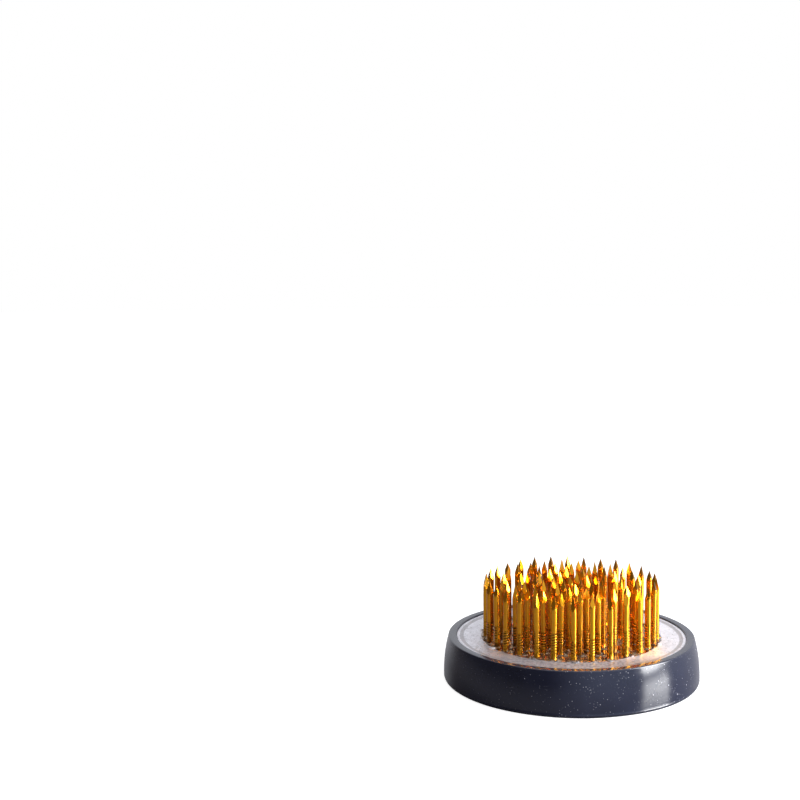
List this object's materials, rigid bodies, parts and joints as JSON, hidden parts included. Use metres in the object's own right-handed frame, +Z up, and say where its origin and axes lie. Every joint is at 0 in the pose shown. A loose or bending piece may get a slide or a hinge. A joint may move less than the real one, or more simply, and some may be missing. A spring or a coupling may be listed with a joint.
{
  "type": "flower frog",
  "caption": "Round flower frog: a heavy cast base set with upright pointed brass pins, standing in a removable soft rubber ring.",
  "frame": {"origin": "centre of the ring's underside, on the surface that the flower frog stands on", "axes": "+Z up along the ring's axis and the pins; X and Y lie in the underside, -Y towards the viewer's side"},
  "size_m": [0.064, 0.064, 0.026],
  "materials": {
    "ring_rubber": "satin",
    "cast_lead": "satin",
    "pin_brass": "polished"
  },
  "bodies": {
    "ring": {"rubber_ring": "ring_rubber"},
    "base": {"lead_base": "cast_lead", "centre_pin": "pin_brass", "pins_circle1_sector1": "pin_brass", "pins_circle1_sector2": "pin_brass", "pins_circle1_sector3": "pin_brass", "pins_circle1_sector4": "pin_brass", "pins_circle1_sector5": "pin_brass", "pins_circle1_sector6": "pin_brass", "pins_circle2_sector1": "pin_brass", "pins_circle2_sector2": "pin_brass", "pins_circle2_sector3": "pin_brass", "pins_circle2_sector4": "pin_brass", "pins_circle2_sector5": "pin_brass", "pins_circle2_sector6": "pin_brass", "pins_circle3_sector1": "pin_brass", "pins_circle3_sector2": "pin_brass", "pins_circle3_sector3": "pin_brass", "pins_circle3_sector4": "pin_brass", "pins_circle3_sector5": "pin_brass", "pins_circle3_sector6": "pin_brass", "pins_circle4_sector1": "pin_brass", "pins_circle4_sector2": "pin_brass", "pins_circle4_sector3": "pin_brass", "pins_circle4_sector4": "pin_brass", "pins_circle4_sector5": "pin_brass", "pins_circle4_sector6": "pin_brass", "pins_circle5_sector1": "pin_brass", "pins_circle5_sector2": "pin_brass", "pins_circle5_sector3": "pin_brass", "pins_circle5_sector4": "pin_brass", "pins_circle5_sector5": "pin_brass", "pins_circle5_sector6": "pin_brass"}
  },
  "joints": [
    {"name": "base_lift", "type": "slide", "parent": "ring", "child": "base", "axis": [0, 0, 1], "range_m": [0, 0.03]}
  ]
}
